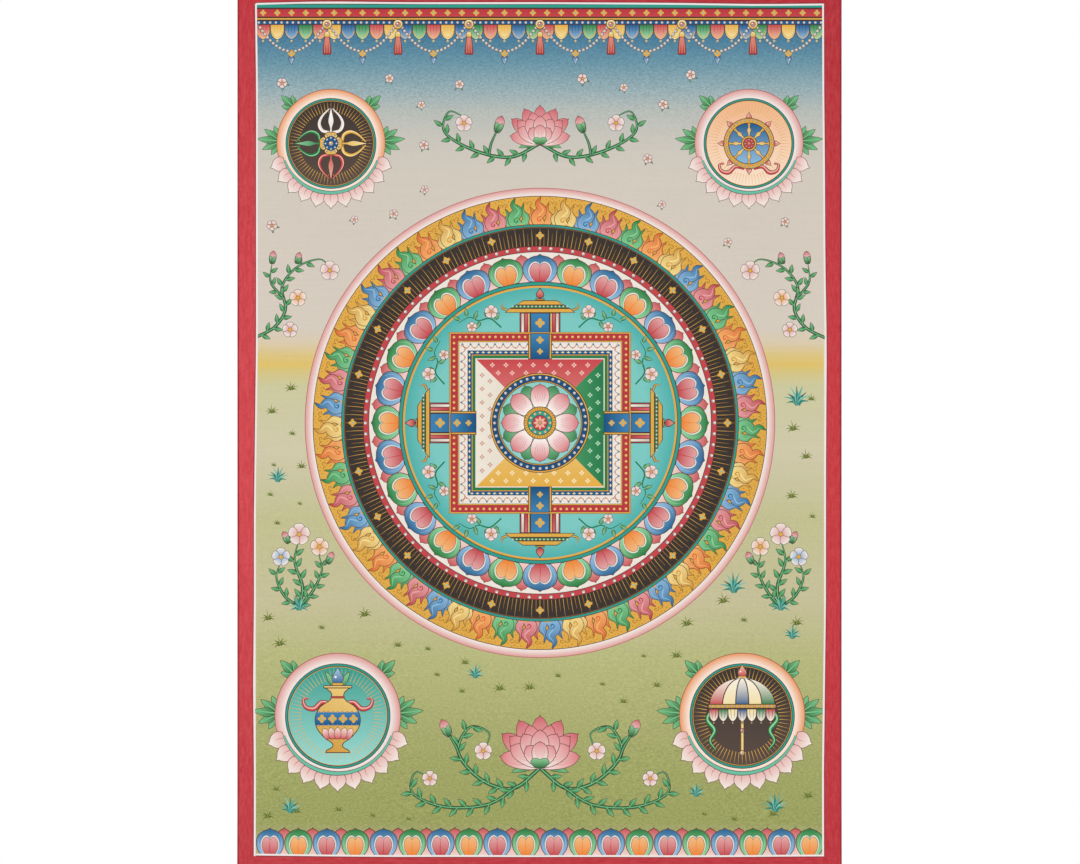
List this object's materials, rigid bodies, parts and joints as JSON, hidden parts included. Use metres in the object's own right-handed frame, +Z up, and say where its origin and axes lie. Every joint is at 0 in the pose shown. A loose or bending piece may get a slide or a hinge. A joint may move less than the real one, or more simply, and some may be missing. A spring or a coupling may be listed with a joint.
{
  "type": "thangka scroll painting",
  "caption": "Hanging sheet of painted cotton canvas: ringed lotus design, thin white line and plain red painted border, held along its top edge.",
  "frame": {"origin": "middle of the cloth's top edge, halfway through its thickness, where the hanging is held", "axes": "+Z up along the painting's height, -Y out of the painted face towards the viewer, +X to the viewer's right"},
  "size_m": [0.532, 0.0055, 0.782],
  "materials": {
    "painted_cotton": "matt mineral colours on primed plain-weave cotton"
  },
  "bodies": {
    "root": {"painted_canvas": "painted_cotton"}
  },
  "joints": []
}
